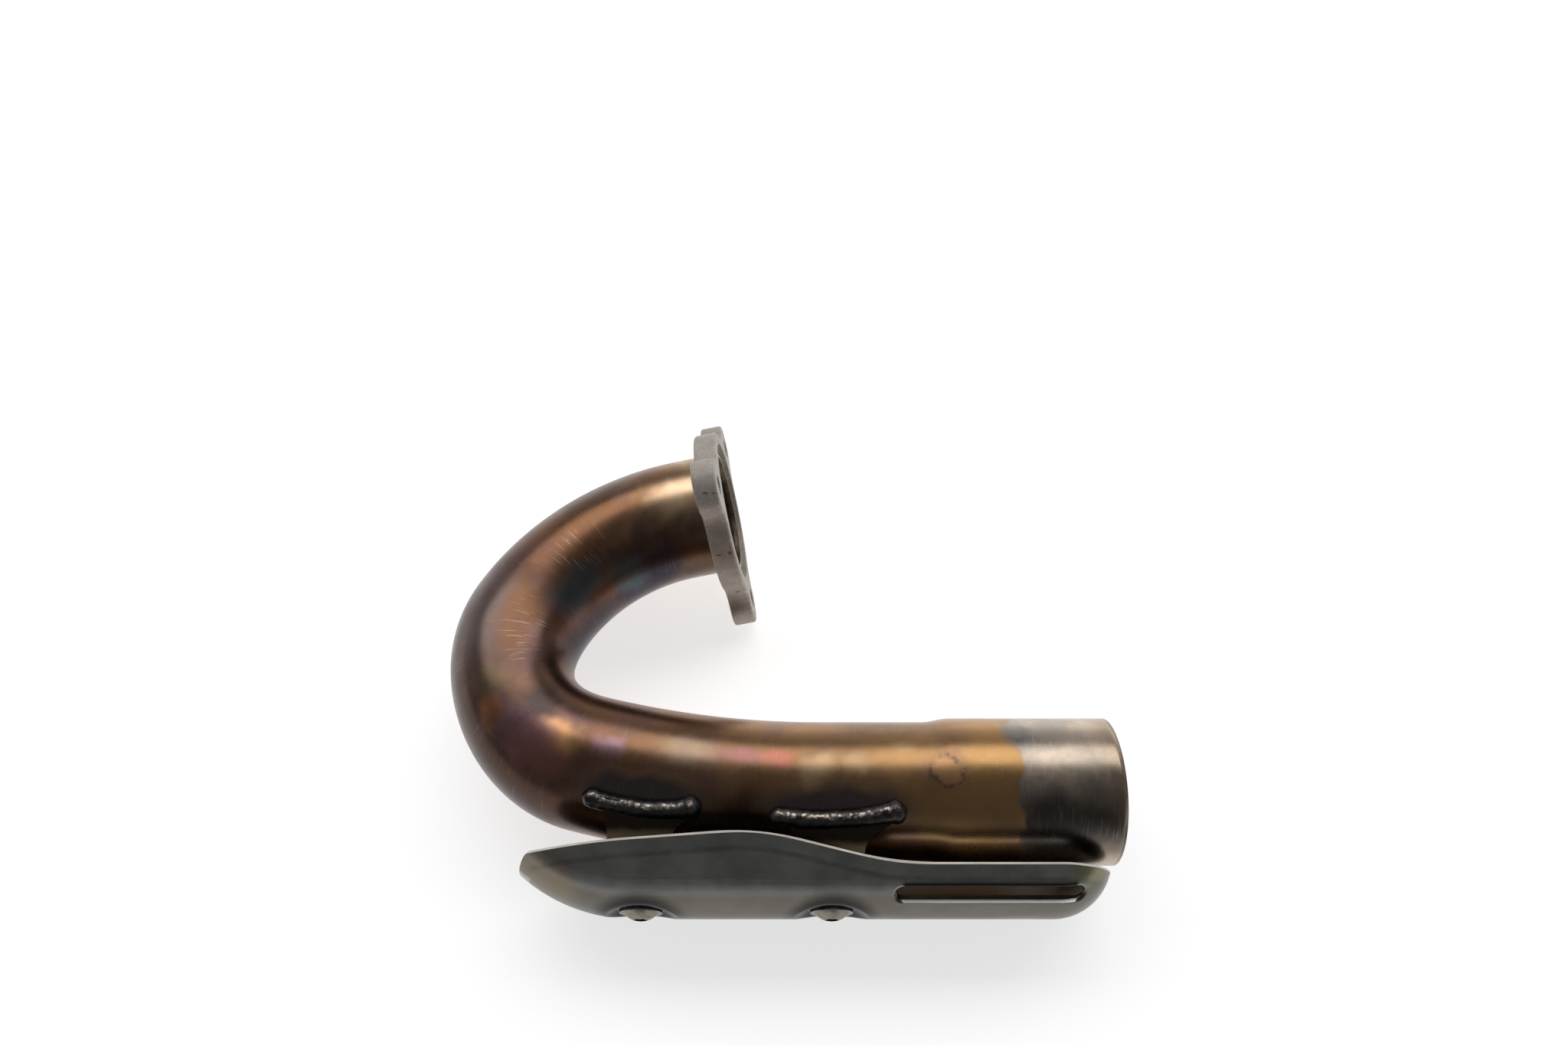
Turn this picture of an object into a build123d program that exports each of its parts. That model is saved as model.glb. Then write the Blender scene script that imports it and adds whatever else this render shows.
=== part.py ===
"""Motorcycle exhaust header: a bent tube, a three-bolt head flange and a screwed heat shield.

Millimetres. The origin is the centre of the outlet mouth, +X points out of the outlet along the
straight leg, +Y points from the leg towards the head flange, and +Z is up as the header lies.
"""

from build123d import *
from math import asin, atan, cos, degrees, hypot, radians, sin, sqrt, tan
import os

# Tube
tube_od = 45.0
tube_wall = 1.2
leg_length = 95.0
gentle_radius = 330.0
gentle_angle = 13.5
gentle_lean = 12.0
return_radius = 40.0
return_angle = 101.0
return_twist = 12.0
return_flattening = 0.08
return_sections = 9
head_radius = 70.0
head_angle = 58.5
head_twist = -13.0
head_length = 18.5

# Expanded outlet
outlet_growth = 2.5
outlet_length = 52.0
swage_length = 9.0

# Head flange
flange_thickness = 8.4
gasket_land = 3.5
gasket_depth = 2.5
ring_land = 4.5
bolt_offset = 5.5
bolt_count = 3
bolt_hole = 7.0
lobe_radius = 9.6
lobe_blend = 11.0
flange_clock = -9.0
flange_edge = 1.0
tube_stand = 1.2
flange_weld_leg = 1.4
fit_gap = 0.05

# Heat shield
shield_clock = 6.0
shield_sheet = 1.0
shield_gap = 17.8
shield_outlet_inset = 22.0
shield_straight = 132.0
crown_radius = 21.0
flank_angle = 37.0
upper_flank = 18.0
lower_flank = 14.0
end_flank = 11.0
bend_end_radius = 60.0
bend_end_turn = 48.0
outlet_end_radius = 20.0
outlet_end_turn = 80.0
nose_depth = 12.8
crest_from_outlet = 115.0
crest_depth = 21.5
crest_blend = 100.0
shoulder_from_outlet = 73.0
shoulder_blend = 130.0
toe_rise = 4.3
toe_length = 4.0
toe_blend = 5.0
lower_edge_depth = 18.5
lower_edge_run_out = 40.0
slot_length = 58.0
slot_height = 5.0
slot_from_outlet = 44.0
slot_angle = 38.0
slot_lip = 3.0
slot_roll = 0.9

# Shield screws, their seats and nuts
screw_from_outlet = 92.0
screw_spacing = 60.0
screw_diameter = 6.0
screw_length = 12.0
screw_clearance = 0.6
head_flange_diameter = 13.6
head_flange_height = 1.0
head_dome_diameter = 11.0
head_dome_height = 2.4
socket_flats = 4.0
socket_depth = 2.0
seat_depth = 2.5
seat_radius = 8.0
seat_slope = 55.0
seat_rim = 2.5
nut_flats = 10.0
nut_height = 5.0

# Brackets
bracket_sheet = 2.0
bracket_base = 19.0
bracket_neck = 20.0
outlet_foot = 36.0
bend_foot = 30.0
outlet_foot_angle = 51.0
bend_foot_angle = 48.0
bracket_bend = 3.0
foot_height = 7.0
foot_blend_radius = 5.0
foot_offset = 2.0

# Weld beads on the bracket feet
bead_radius = 2.5
bead_lift = 1.0
bead_overrun = 1.5
bead_rise = 4.0
outlet_side_rise = 11.0
bend_side_rise = 6.0

tube_radius = tube_od / 2
outlet_radius = (tube_od + outlet_growth) / 2
gasket_od = tube_od + 2 * gasket_land
flange_ring_od = gasket_od + 2 * ring_land
bolt_circle = flange_ring_od + 2 * bolt_offset
shield_standoff = tube_radius + shield_gap
os.makedirs("parts", exist_ok=True)


def bend_points(plane, radius, angle):
    """Points halfway along and at the end of a bend that leaves the plane's origin along its X axis."""
    turns = (radians(angle / 2), radians(angle))
    return [plane.from_local_coords((radius * sin(turn), radius * (1 - cos(turn)), 0)) for turn in turns]


def plane_after(plane, radius, angle, twist):
    """Plane at the end of a bend, turned by a twist about the direction that the tube leaves in."""
    turn = radians(angle)
    end = bend_points(plane, radius, angle)[1]
    heading = plane.x_dir * cos(turn) + plane.y_dir * sin(turn)
    untwisted = Plane(origin=end, x_dir=heading, z_dir=plane.z_dir)
    return Plane(untwisted.location * Rotation(twist, 0, 0))


# Axis of the tube, from the outlet mouth to the face of the head flange
leg_end = Plane(origin=(-leg_length, 0, 0), x_dir=(-1, 0, 0), z_dir=(0, 0, -1))
gentle_plane = Plane(leg_end.location * Rotation(-gentle_lean, 0, 0))
return_plane = plane_after(gentle_plane, gentle_radius, gentle_angle, return_twist)
head_plane = plane_after(return_plane, return_radius, return_angle, head_twist)
stub_plane = plane_after(head_plane, head_radius, head_angle, 0)
face_centre = stub_plane.from_local_coords((head_length, 0, 0))
tube_end = stub_plane.from_local_coords((head_length - gasket_depth + tube_stand, 0, 0))
leg_start = outlet_length + swage_length

gentle_bend = (gentle_plane, gentle_radius, gentle_angle)
return_bend = (return_plane, return_radius, return_angle)
head_bend = (head_plane, head_radius, head_angle)

with BuildLine() as tube_axis:
    Line((-leg_start, 0, 0), gentle_plane.origin)
    for plane, radius, angle in (gentle_bend, return_bend, head_bend):
        ThreePointArc(plane.origin, *bend_points(plane, radius, angle))
    Line(stub_plane.origin, tube_end)


def tube_section(plane, outer, inner):
    """Round section of the tube, square to the X axis of a plane along its path."""
    with BuildSketch(Plane(origin=plane.origin, x_dir=plane.y_dir, z_dir=plane.x_dir)) as section:
        Circle(outer)
        if inner:
            Circle(inner, mode=Mode.SUBTRACT)
    return section.sketch


def flattened_bend(radius):
    """Filled form of the tight return bend, which draws the tube flatter towards its middle."""
    sections = []
    for step in range(return_sections):
        share = step / (return_sections - 1)
        square = plane_after(return_plane, return_radius, return_angle * share, 0)
        flat = 1 - return_flattening * sin(radians(180 * share)) ** 2
        with BuildSketch(Plane(origin=square.origin, x_dir=square.z_dir, z_dir=square.x_dir)) as section:
            Ellipse(radius, radius * flat)
        sections.append(section.sketch.face())
    with BuildLine() as bend_axis:
        ThreePointArc(return_plane.origin, *bend_points(*return_bend))
    return sweep(sections=sections, path=bend_axis.wire(), multisection=True)


def tube_run(outer, inner):
    """The tube from the outlet's swage to the head flange: straight, three bends, straight."""
    stub_length = head_length - gasket_depth + tube_stand
    with BuildPart() as run:
        extrude(tube_section(leg_end, outer, inner), amount=leg_start - leg_length)
        for plane, radius, angle in (gentle_bend, head_bend):
            turning = Axis(plane.from_local_coords((0, radius, 0)), plane.z_dir)
            revolve(tube_section(plane, outer, inner), axis=turning, revolution_arc=angle)
        extrude(tube_section(stub_plane, outer, inner), amount=stub_length)
        add(flattened_bend(outer))
        if inner:
            add(flattened_bend(inner), mode=Mode.SUBTRACT)
    return run.part


# Header tube: one drawn tube, bent three times, flatter in its tight bend and expanded at the outlet
with BuildPart() as header_tube:
    add(tube_run(tube_radius, tube_radius - tube_wall))
    with BuildSketch(Plane.XY):
        with BuildLine():
            Polyline(
                (0, outlet_radius - tube_wall),
                (0, outlet_radius),
                (-outlet_length, outlet_radius),
                (-leg_start, tube_radius),
                (-leg_start, tube_radius - tube_wall),
                (-outlet_length, outlet_radius - tube_wall),
                close=True,
            )
        make_face()
    revolve(axis=Axis.X)

header_tube.part.label = "header_tube"
export_step(header_tube.part, "parts/header_tube.step")

# Head flange: a three-lobed casting with a gasket recess, on the tube's end
face_normal = stub_plane.x_dir
level_across = Vector(-face_normal.Y, face_normal.X, 0)
level_face = Plane(origin=face_centre, x_dir=level_across, z_dir=face_normal)
flange_face = Plane(level_face.location * Rotation(0, 0, flange_clock))

with BuildPart() as head_flange:
    with BuildSketch(flange_face) as flange_outline:
        Circle(flange_ring_od / 2)
        with PolarLocations(bolt_circle / 2, bolt_count):
            Circle(lobe_radius)
        waists = flange_outline.vertices()
        fillet(waists, lobe_blend)
    extrude(amount=-flange_thickness)
    fillet(head_flange.faces().filter_by(GeomType.PLANE).edges(), flange_edge)
    with Locations(flange_face):
        CounterBoreHole(tube_radius + fit_gap, gasket_od / 2, gasket_depth)
        with PolarLocations(bolt_circle / 2, bolt_count):
            Hole(bolt_hole / 2)

head_flange.part.label = "head_flange"
export_step(head_flange.part, "parts/head_flange.step")

# Weld ring between the tube's end and the floor of the gasket recess
with BuildPart() as flange_weld:
    recess_floor = stub_plane.from_local_coords((head_length - gasket_depth, 0, 0))
    with BuildSketch(Plane(origin=recess_floor, x_dir=stub_plane.y_dir, z_dir=stub_plane.z_dir)):
        with BuildLine():
            inner = tube_radius + fit_gap
            Polyline((inner, 0), (inner + flange_weld_leg, 0), (inner, -tube_stand), close=True)
        make_face()
    revolve(axis=Axis(recess_floor, face_normal))

flange_weld.part.label = "flange_weld"
export_step(flange_weld.part, "parts/flange_weld.step")

# Frame of the shield: local X along the leg, local Y towards the tube, screws along local -Y
clock = radians(shield_clock)
shield_plane = Plane(origin=(0, 0, 0), x_dir=(1, 0, 0), z_dir=(0, -sin(clock), cos(clock)))
screw_distances = {"outlet_end": screw_from_outlet, "bend_end": screw_from_outlet + screw_spacing}
foot_widths = {"outlet_end": outlet_foot, "bend_end": bend_foot}
foot_angles = {"outlet_end": outlet_foot_angle, "bend_end": bend_foot_angle}
seat_floor = shield_standoff - seat_depth
clearance_radius = (screw_diameter + screw_clearance) / 2


def across_shield(distance):
    """Plane square to the leg at a distance from the outlet, with X towards the tube and Y up."""
    origin = shield_plane.from_local_coords((-distance, 0, 0))
    return Plane(origin=origin, x_dir=shield_plane.y_dir, z_dir=shield_plane.x_dir)


def seat_plane(distance, depth):
    """Plane of a screw seat, a depth below the dish floor, with Z pointing out of the shield."""
    origin = shield_plane.from_local_coords((-distance, depth - seat_floor, 0))
    return Plane(origin=origin, x_dir=shield_plane.x_dir, z_dir=-shield_plane.y_dir)


def turning_axis(distance, radius, direction):
    """Axis that an end of the shield turns about, for the radius of its keel."""
    origin = shield_plane.from_local_coords((-distance, radius - shield_standoff, 0))
    return Axis(origin, direction)


def channel_section(distance, inset, flank_up, flank_down):
    """Filled section of the shield: a round crown that runs out into two flat flanks."""
    crown_half = 90 - flank_angle
    with BuildSketch(across_shield(distance)) as section:
        with BuildLine():
            centre = (crown_radius - shield_standoff, 0)
            crown = CenterArc(centre, crown_radius - inset, 180 - crown_half, 2 * crown_half)
            upper = PolarLine(crown @ 0, flank_up, angle=flank_angle)
            lower = PolarLine(crown @ 1, flank_down, angle=-flank_angle)
            Line(upper @ 1, lower @ 1)
        make_face()
    return section.sketch


def shield_form(inset):
    """Solid form of the shield with its dished seats. The sheet lies between two such forms."""
    bend_end = shield_outlet_inset + shield_straight
    slope = radians(seat_slope)
    floor_radius = seat_radius + inset * (1 - sin(slope)) / cos(slope)
    dish_height = 2 * seat_depth
    outlet_turn = turning_axis(shield_outlet_inset, outlet_end_radius, shield_plane.z_dir)
    bend_turn = turning_axis(bend_end, bend_end_radius, -shield_plane.z_dir)
    outlet_section = channel_section(shield_outlet_inset, inset, end_flank, end_flank)
    bend_section = channel_section(bend_end, inset, upper_flank, lower_flank)
    with BuildPart() as form:
        extrude(bend_section, amount=shield_straight)
        revolve(outlet_section, axis=outlet_turn, revolution_arc=outlet_end_turn)
        revolve(bend_section, axis=bend_turn, revolution_arc=bend_end_turn)
        with Locations([seat_plane(distance, inset) for distance in screw_distances.values()]):
            Cone(
                floor_radius,
                floor_radius + dish_height * tan(slope),
                dish_height,
                align=(Align.CENTER, Align.CENTER, Align.MIN),
                mode=Mode.SUBTRACT,
            )
        rims = form.edges(Select.LAST).filter_by(GeomType.BSPLINE)
        fillet(rims, seat_rim - inset)
    return form.part


def nose_reach(radius):
    """How far an end reaches past the straight part before its keel has turned in by the nose depth."""
    return sqrt(radius**2 - (radius - nose_depth) ** 2)


def beyond_edge(points, blends):
    """Region on the tube's side of an edge line of the shield, seen along the shield's Z axis."""
    with BuildSketch(shield_plane) as region:
        with BuildLine():
            edge = FilletPolyline(*points, radius=blends)
            Polyline(edge @ 0, (points[0][0], tube_od), (points[-1][0], tube_od), edge @ 1)
        make_face()
    return region.sketch


# Heat shield: a stamped sheet, trimmed to its outline, with a long slot and two screw holes
nose_y = nose_depth - shield_standoff
lower_y = lower_edge_depth - shield_standoff
outlet_nose = nose_reach(outlet_end_radius) - shield_outlet_inset
bend_nose = -nose_reach(bend_end_radius) - shield_outlet_inset - shield_straight
before_bend_nose = (bend_nose - bend_end_radius, nose_y)
past_outlet_nose = (outlet_nose + outlet_end_radius, nose_y)
slot_turn = radians(slot_angle)
slot_normal = shield_plane.z_dir * sin(slot_turn) - shield_plane.y_dir * cos(slot_turn)
slot_foot = shield_plane.from_local_coords((-slot_from_outlet, crown_radius - shield_standoff, 0))
slot_centre = slot_foot + slot_normal * crown_radius
slot_plane = Plane(origin=slot_centre, x_dir=shield_plane.x_dir, z_dir=slot_normal)
slot_axis = Axis(slot_centre, slot_normal)

upper_edge = [
    before_bend_nose,
    (bend_nose, nose_y),
    (bend_nose + toe_length, nose_y + toe_rise),
    (-crest_from_outlet, crest_depth - shield_standoff),
    (-shoulder_from_outlet, nose_y),
    past_outlet_nose,
]
lower_edge = [
    before_bend_nose,
    (bend_nose, nose_y),
    (bend_nose + lower_edge_run_out, lower_y),
    (outlet_nose - lower_edge_run_out, lower_y),
    (outlet_nose, nose_y),
    past_outlet_nose,
]
above_upper_edge = beyond_edge(upper_edge, (0, toe_blend, crest_blend, shoulder_blend))
below_lower_edge = beyond_edge(lower_edge, (0, lower_edge_run_out, lower_edge_run_out, 0))

with BuildPart() as slot_wall:
    with BuildSketch(slot_plane):
        SlotOverall(slot_length + 2 * shield_sheet, slot_height + 2 * shield_sheet)
    extrude(amount=-slot_lip)
    add(shield_form(0), mode=Mode.INTERSECT)

with BuildPart() as heat_shield:
    add(shield_form(0))
    add(shield_form(shield_sheet), mode=Mode.SUBTRACT)
    add(slot_wall.part)
    extrude(above_upper_edge, amount=tube_od, mode=Mode.SUBTRACT)
    extrude(below_lower_edge, amount=-tube_od, mode=Mode.SUBTRACT)
    with BuildSketch(slot_plane):
        SlotOverall(slot_length, slot_height)
    extrude(amount=slot_height, both=True, mode=Mode.SUBTRACT)
    slot_edges = heat_shield.edges(Select.LAST).filter_by(slot_axis, reverse=True)
    fillet(slot_edges.filter_by_position(slot_axis, shield_sheet - slot_lip, slot_lip), slot_roll)
    with Locations([seat_plane(distance, 0) for distance in screw_distances.values()]):
        Hole(clearance_radius)

heat_shield.part.label = "heat_shield"
export_step(heat_shield.part, "parts/heat_shield.step")

# Filled form of the tube with the fit gap, which trims the pieces that are welded to the tube
axis_wire = tube_axis.wires()[0]
tube_form = tube_run(tube_radius + fit_gap, 0)


def on_tube(distance, angle, radius):
    """Point at a radius from the tube's axis, at an angle up from the direction of the shield."""
    along = axis_wire.tangent_at(distance - leg_start, position_mode=PositionMode.LENGTH)
    centre = axis_wire.position_at(distance - leg_start, position_mode=PositionMode.LENGTH)
    out = shield_plane.z_dir.cross(along).normalized()
    turn = radians(angle)
    return centre + (out * cos(turn) + along.cross(out) * sin(turn)) * radius


def bracket_section(distance, inset):
    """Filled section of a bracket: a flat base and two legs that run out to touch the tube's sides."""
    base = seat_floor - shield_sheet
    base_to_axis = base + shield_plane.to_local_coords(on_tube(distance, 0, 0)).Y
    reach = hypot(base_to_axis, bracket_base / 2)
    touching = asin((tube_radius + fit_gap + bracket_sheet) / reach)
    slope = touching - atan(bracket_base / 2 / base_to_axis)
    top = bracket_base / 2 + base_to_axis * tan(slope)
    with BuildSketch(across_shield(distance)) as section:
        with BuildLine():
            Polyline(
                (-base, -bracket_base / 2),
                (base_to_axis - base, -top),
                (base_to_axis - base, top),
                (-base, bracket_base / 2),
                close=True,
            )
        make_face()
        fillet(section.vertices().sort_by(Axis.X)[:2], bracket_bend)
        if inset:
            offset(amount=-inset, mode=Mode.REPLACE)
    return section.sketch


# Brackets with their weld beads, screws and weld nuts, at both ends of the shield
head_top = head_flange_height + head_dome_height

for end, distance in screw_distances.items():
    foot = foot_widths[end]
    foot_angle = foot_angles[end]
    foot_edge = tube_radius * cos(radians(foot_angle))
    foot_distance = distance - foot_offset
    axis_point = shield_plane.to_local_coords(on_tube(foot_distance, 0, 0))
    next_point = shield_plane.to_local_coords(on_tube(foot_distance + foot / 2, 0, 0))
    yaw = degrees(atan((next_point.Y - axis_point.Y) / (next_point.X - axis_point.X)))
    foot_y = axis_point.Y - foot_edge
    foot_middle = Vector(axis_point.X, foot_y)
    foot_run = Vector(foot / 2, 0).rotate(Axis.Z, yaw)

    with BuildPart() as bracket_block:
        extrude(bracket_section(distance, 0), amount=foot, both=True)
        with BuildSketch(shield_plane):
            with BuildLine():
                outline = FilletPolyline(
                    (bracket_neck / 2 - distance, -shield_standoff),
                    (bracket_neck / 2 - distance, foot_y - foot_height),
                    foot_middle + foot_run,
                    foot_middle - foot_run,
                    (-bracket_neck / 2 - distance, foot_y - foot_height),
                    (-bracket_neck / 2 - distance, -shield_standoff),
                    radius=(foot_blend_radius, 0, 0, foot_blend_radius),
                )
                Line(outline @ 0, outline @ 1)
            make_face()
        extrude(amount=tube_od, both=True, mode=Mode.INTERSECT)

    with BuildPart() as bracket:
        add(bracket_block.part)
        extrude(bracket_section(distance, bracket_sheet), amount=foot, both=True, mode=Mode.SUBTRACT)
        add(tube_form, mode=Mode.SUBTRACT)
        with Locations(seat_plane(distance, shield_sheet)):
            Hole(clearance_radius)

    bracket.part.label = f"{end}_bracket"
    export_step(bracket.part, f"parts/{end}_bracket.step")

    for side, sign in {"upper": 1, "lower": -1}.items():
        bead_half = foot / 2 + bead_overrun
        bead_height = tube_radius + bead_lift
        outlet_side = sign * (foot_angle + outlet_side_rise)
        bend_side = sign * (foot_angle + bend_side_rise)
        bead_start = on_tube(foot_distance - bead_half, outlet_side, bead_height)
        bead_middle = on_tube(foot_distance, sign * (foot_angle + bead_rise), bead_height)
        bead_end = on_tube(foot_distance + bead_half, bend_side, bead_height)
        with BuildPart() as bead:
            with BuildLine() as bead_path:
                ThreePointArc(bead_start, bead_middle, bead_end)
            with BuildSketch(Plane(origin=bead_start, z_dir=bead_path.line % 0)):
                Circle(bead_radius)
            sweep(path=bead_path.wires()[0])
            with Locations(bead_start, bead_end):
                Sphere(bead_radius)
            add(bracket_block.part, mode=Mode.SUBTRACT)
            add(tube_form, mode=Mode.SUBTRACT)
        bead.part.label = f"{end}_{side}_weld"
        export_step(bead.part, f"parts/{end}_{side}_weld.step")

    seat = seat_plane(distance, 0)
    with BuildPart() as screw:
        with BuildSketch(Plane(origin=seat.origin, x_dir=seat.x_dir, z_dir=-shield_plane.z_dir)):
            with BuildLine():
                Polyline(
                    (0, head_top),
                    (0, -screw_length),
                    (screw_diameter / 2, -screw_length),
                    (screw_diameter / 2, 0),
                    (head_flange_diameter / 2, 0),
                    (head_flange_diameter / 2, head_flange_height),
                    (head_dome_diameter / 2, head_flange_height),
                )
                TangentArc((0, head_top), (head_dome_diameter / 2, head_flange_height), tangent=(1, 0))
            make_face()
        revolve(axis=Axis(seat.origin, seat.z_dir))
        with BuildSketch(seat.offset(head_top)):
            RegularPolygon(socket_flats / 2, 6, major_radius=False)
        extrude(amount=-socket_depth, mode=Mode.SUBTRACT)

    screw.part.label = f"{end}_screw"
    export_step(screw.part, f"parts/{end}_screw.step")

    with BuildPart() as nut:
        with BuildSketch(seat_plane(distance, shield_sheet + bracket_sheet)):
            RegularPolygon(nut_flats / 2, 6, major_radius=False)
            Circle(screw_diameter / 2 + fit_gap, mode=Mode.SUBTRACT)
        extrude(amount=-nut_height)

    nut.part.label = f"{end}_nut"
    export_step(nut.part, f"parts/{end}_nut.step")
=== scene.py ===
# %% [markdown]
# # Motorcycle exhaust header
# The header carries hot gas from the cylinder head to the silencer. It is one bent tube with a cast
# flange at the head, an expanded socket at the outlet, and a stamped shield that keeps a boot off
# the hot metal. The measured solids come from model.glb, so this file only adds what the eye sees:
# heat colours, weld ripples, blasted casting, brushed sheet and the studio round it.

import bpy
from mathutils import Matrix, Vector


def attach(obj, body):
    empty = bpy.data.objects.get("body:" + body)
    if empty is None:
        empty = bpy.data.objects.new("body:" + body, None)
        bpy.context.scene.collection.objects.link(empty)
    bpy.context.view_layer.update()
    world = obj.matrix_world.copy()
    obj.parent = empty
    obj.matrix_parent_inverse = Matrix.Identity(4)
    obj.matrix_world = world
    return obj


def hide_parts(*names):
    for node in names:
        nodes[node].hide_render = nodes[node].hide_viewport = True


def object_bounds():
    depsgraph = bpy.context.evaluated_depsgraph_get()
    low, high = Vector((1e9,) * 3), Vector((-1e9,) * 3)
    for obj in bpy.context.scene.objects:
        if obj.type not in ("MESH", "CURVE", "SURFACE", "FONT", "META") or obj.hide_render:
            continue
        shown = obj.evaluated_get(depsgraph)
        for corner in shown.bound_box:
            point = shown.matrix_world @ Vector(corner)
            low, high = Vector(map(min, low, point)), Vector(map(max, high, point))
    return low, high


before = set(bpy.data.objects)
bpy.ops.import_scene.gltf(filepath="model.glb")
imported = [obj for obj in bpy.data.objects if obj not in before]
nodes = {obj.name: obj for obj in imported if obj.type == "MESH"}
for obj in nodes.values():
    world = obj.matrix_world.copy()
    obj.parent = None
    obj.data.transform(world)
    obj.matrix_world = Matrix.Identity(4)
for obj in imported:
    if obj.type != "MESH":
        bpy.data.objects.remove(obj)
cad_box = [list(corner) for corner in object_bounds()]

from math import cos, pi, radians, sin

import bpy
from mathutils import Matrix, Vector

MM = 0.001
scene = bpy.context.scene
print("solids:", sorted(nodes))

# %% [markdown]
# Materials and Geometry Nodes trees are both graphs, so a few short helpers build either kind.
# A value that is a socket is linked, and anything else is typed into the input, which keeps the
# cells below about the metal and not about the wiring.

# %% Helpers for node graphs
def add_node(tree, kind, inputs=None, **settings):
    """A new node with its settings, its input values and its links."""
    node = tree.nodes.new(kind)
    for name, value in settings.items():
        setattr(node, name, value)
    for name, value in (inputs or {}).items():
        if isinstance(value, bpy.types.NodeSocket):
            tree.links.new(value, node.inputs[name])
        else:
            node.inputs[name].default_value = value
    return node


def calculate(tree, operation, first, second=0.0):
    """The result of one sum, product or other step on two values."""
    return add_node(tree, "ShaderNodeMath", {0: first, 1: second}, operation=operation).outputs[0]


def remap(tree, value, low, high, new_low=0.0, new_high=1.0):
    """A value eased from one range into another."""
    inputs = {"Value": value, "From Min": low, "From Max": high, "To Min": new_low, "To Max": new_high}
    return add_node(tree, "ShaderNodeMapRange", inputs, interpolation_type="SMOOTHSTEP").outputs[0]


def blend(tree, mask, below, above):
    """One colour laid over another where a mask is white."""
    node = add_node(tree, "ShaderNodeMix", {0: mask}, data_type="RGBA")
    for socket, colour in ((node.inputs[6], below), (node.inputs[7], above)):
        if isinstance(colour, bpy.types.NodeSocket):
            tree.links.new(colour, socket)
        else:
            socket.default_value = (*colour, 1.0)
    return node.outputs[2]


print("node helpers ready")

# %% [markdown]
# The photograph is a catalogue picture on white. A white floor at the lowest point of the part takes
# the soft shadow, and a little glow of its own keeps it white for the camera and in the metal. One
# long soft lamp hangs above and behind, and the sky is pale behind and dim in front. Metal shows its
# surroundings, so the dim front gives the tube its dark flank and the lamp its long highlight, and
# painted shade in the tube's colour deepens the dark flanks of the bend.

# %% Floor
floor_size = 6.0
floor_glow = 0.68
floor_level = cad_box[0][2]
bpy.ops.mesh.primitive_plane_add(size=floor_size, location=(0.0, 0.0, floor_level))
floor = bpy.context.object
floor.name = "studio_floor"
paper = bpy.data.materials.new("white_paper")
paper.use_nodes = True
paper_tree = paper.node_tree
paper_shader = paper_tree.nodes["Principled BSDF"]
paper_shader.inputs["Base Color"].default_value = (0.93, 0.93, 0.93, 1.0)
paper_shader.inputs["Roughness"].default_value = 0.9
paper_shader.inputs["Specular IOR Level"].default_value = 0.0
paper_shader.inputs["Emission Color"].default_value = (1.0, 1.0, 1.0, 1.0)
rays = add_node(paper_tree, "ShaderNodeLightPath").outputs
seen = calculate(paper_tree, "MAXIMUM", rays["Is Camera Ray"], rays["Is Glossy Ray"])
seen = calculate(paper_tree, "MAXIMUM", seen, rays["Is Transmission Ray"])
glow = calculate(paper_tree, "MULTIPLY", seen, floor_glow)
paper_tree.links.new(glow, paper_shader.inputs["Emission Strength"])
floor.data.materials.append(paper)
print("floor at", round(floor_level / MM, 2), "mm")

# %% Sky
dim_front, pale_behind, dim_overhead = (0.20, 0.20, 0.205), (0.60, 0.60, 0.61), (0.10, 0.10, 0.103)
world = bpy.data.worlds.new("studio_sky")
scene.world = world
world.use_nodes = True
sky = world.node_tree
direction = add_node(sky, "ShaderNodeTexCoord").outputs["Generated"]
direction = add_node(sky, "ShaderNodeSeparateXYZ", {0: direction}).outputs
behind = remap(sky, direction["Y"], -0.1, 0.7)
overhead = remap(sky, direction["Z"], 0.15, 0.5)
sky_colour = blend(sky, behind, dim_front, pale_behind)
sky_colour = blend(sky, overhead, sky_colour, dim_overhead)
sky.links.new(sky_colour, sky.nodes["Background"].inputs["Color"])
print("sky pale behind, dim in front and overhead")

# %% Lamp
lamp_elevation = radians(56.0)
lamp_distance = 1.3
lamp_width = 3.0
lamp_depth = 0.75
lamp_power = 11.0
part_centre = Vector([(low + high) / 2 for low, high in zip(*cad_box)])
toward_lamp = Vector((0.0, cos(lamp_elevation), sin(lamp_elevation)))
lamp = bpy.data.lights.new("long_softbox", "AREA")
lamp.shape = "RECTANGLE"
lamp.size = lamp_width
lamp.size_y = lamp_depth
lamp.energy = lamp_power
softbox = bpy.data.objects.new("long_softbox", lamp)
softbox.location = part_centre + toward_lamp * lamp_distance
softbox.rotation_euler = toward_lamp.to_track_quat("Z", "Y").to_euler()
scene.collection.objects.link(softbox)
scene.view_settings.view_transform = "Standard"
print("lamp", lamp_distance, "m away, above and behind")

# %% Camera
camera_place = Vector((-107.0, -137.2, 340.7)) * MM
camera_tilt = 36.0
focal_length = 24.6
camera = bpy.data.objects.new("catalogue_camera", bpy.data.cameras.new("catalogue_camera"))
camera.location = camera_place
camera.rotation_euler = (radians(camera_tilt), 0.0, 0.0)
camera.data.lens = focal_length
camera.data.clip_start = 0.01
scene.collection.objects.link(camera)
scene.camera = camera
print("camera looks down at", 90.0 - camera_tilt, "degrees")

# %% [markdown]
# The tube is a main piece with a simple rule: a ring that travels along three bends, is pressed wider
# at the outlet and drawn flatter in the tight bend. It could be carved from the solid's triangles,
# but a fresh sweep gives even faces and, better, lets every point remember where it was before the
# tube was bent. Heat colours and scuffs are painted on that straight tube, so they follow the bends
# as real ones do.

# %% Sizes of the tube
tube_od = 45.0 * MM
tube_wall = 1.2 * MM
outlet_od = 47.5 * MM
outlet_length = 52.0 * MM
swage_length = 9.0 * MM
leg_length = 95.0 * MM
head_length = 17.2 * MM
flattening = 0.08
gentle_lean = -12.0
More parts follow.
